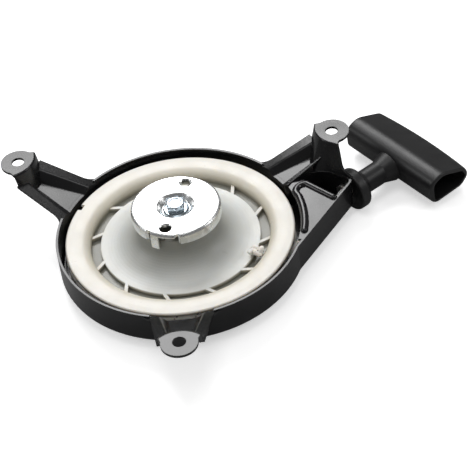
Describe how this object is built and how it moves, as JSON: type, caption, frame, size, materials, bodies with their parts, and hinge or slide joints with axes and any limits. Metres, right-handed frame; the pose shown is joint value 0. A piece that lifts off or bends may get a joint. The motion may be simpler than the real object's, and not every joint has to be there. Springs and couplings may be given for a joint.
{
  "type": "recoil starter",
  "caption": "Pull-rope recoil starter for a small vertical-shaft engine: three-eared pressed steel housing, flanged rope pulley, clutch pawls under a friction plate, and a pull handle.",
  "frame": {"origin": "centre of the three-hole bolt circle, on the faces of the mounting ears that seat on the engine; this is also the pulley axis", "axes": "+Z along the pulley axis towards the engine; +X to the right of the pull side, with ears at 30, 150 and 270 degrees from +X; the rope leaves at 56 degrees from +X"},
  "size_m": [0.3085, 0.2436, 0.0521],
  "materials": {
    "black_paint": "gloss black enamel on pressed steel",
    "post_steel": "turned steel",
    "screw_zinc": "bright blue-white zinc plate",
    "plate_zinc": "bright zinc plate on pressed steel",
    "nylon": "natural moulded nylon, satin",
    "pawl_steel": "sintered steel, dull",
    "spring_steel": "drawn spring wire",
    "blued_spring": "rolled spring strip, oiled",
    "rope": "braided white rope with a few dark tracer threads",
    "eyelet_zinc": "rolled zinc-plated steel",
    "handle_plastic": "black moulded plastic, satin"
  },
  "bodies": {
    "frame": {"housing": "black_paint", "pivot_post": "post_steel", "center_screw": "screw_zinc", "rope_eyelet": "eyelet_zinc", "recoil_spring": "blued_spring", "rope_run": "rope"},
    "pulley_unit": {"pulley": "nylon", "rope_wound": "rope", "thrust_washer": "post_steel", "friction_spring": "spring_steel", "return_spring": "spring_steel"},
    "plate": {"friction_plate": "plate_zinc"},
    "pawl_one": {"pawl_a": "pawl_steel"},
    "pawl_two": {"pawl_b": "pawl_steel"},
    "handle": {"handle_grip": "handle_plastic", "handle_washer": "eyelet_zinc", "rope_handle_end": "rope"}
  },
  "joints": [
    {"name": "pulley_spin", "type": "hinge", "parent": "frame", "child": "pulley_unit", "pos_m": [0, 0, 0], "axis": [0, 0, 1], "range_deg": [0, 1440]},
    {"name": "handle_pull", "type": "slide", "parent": "frame", "child": "handle", "axis": [0.7965, 0.6046, 0], "range_m": [0, 1.7]},
    {"name": "friction_plate_turn", "type": "hinge", "parent": "pulley_unit", "child": "plate", "pos_m": [0, 0, 0], "axis": [0, 0, 1], "range_deg": [-34, 0]},
    {"name": "pawl_a_swing", "type": "hinge", "parent": "pulley_unit", "child": "pawl_one", "pos_m": [0.01758, 0.00471, -0.0044], "axis": [0, 0, 1], "range_deg": [-28, 0]},
    {"name": "pawl_b_swing", "type": "hinge", "parent": "pulley_unit", "child": "pawl_two", "pos_m": [-0.01758, -0.00471, -0.0044], "axis": [0, 0, 1], "range_deg": [-28, 0]}
  ],
  "couplings": [
    {"joint": "handle_pull", "follows": "pulley_spin", "m_per_rad": 0.0675},
    {"joint": "pawl_a_swing", "follows": "friction_plate_turn", "ratio": 0.8235},
    {"joint": "pawl_b_swing", "follows": "friction_plate_turn", "ratio": 0.8235}
  ]
}
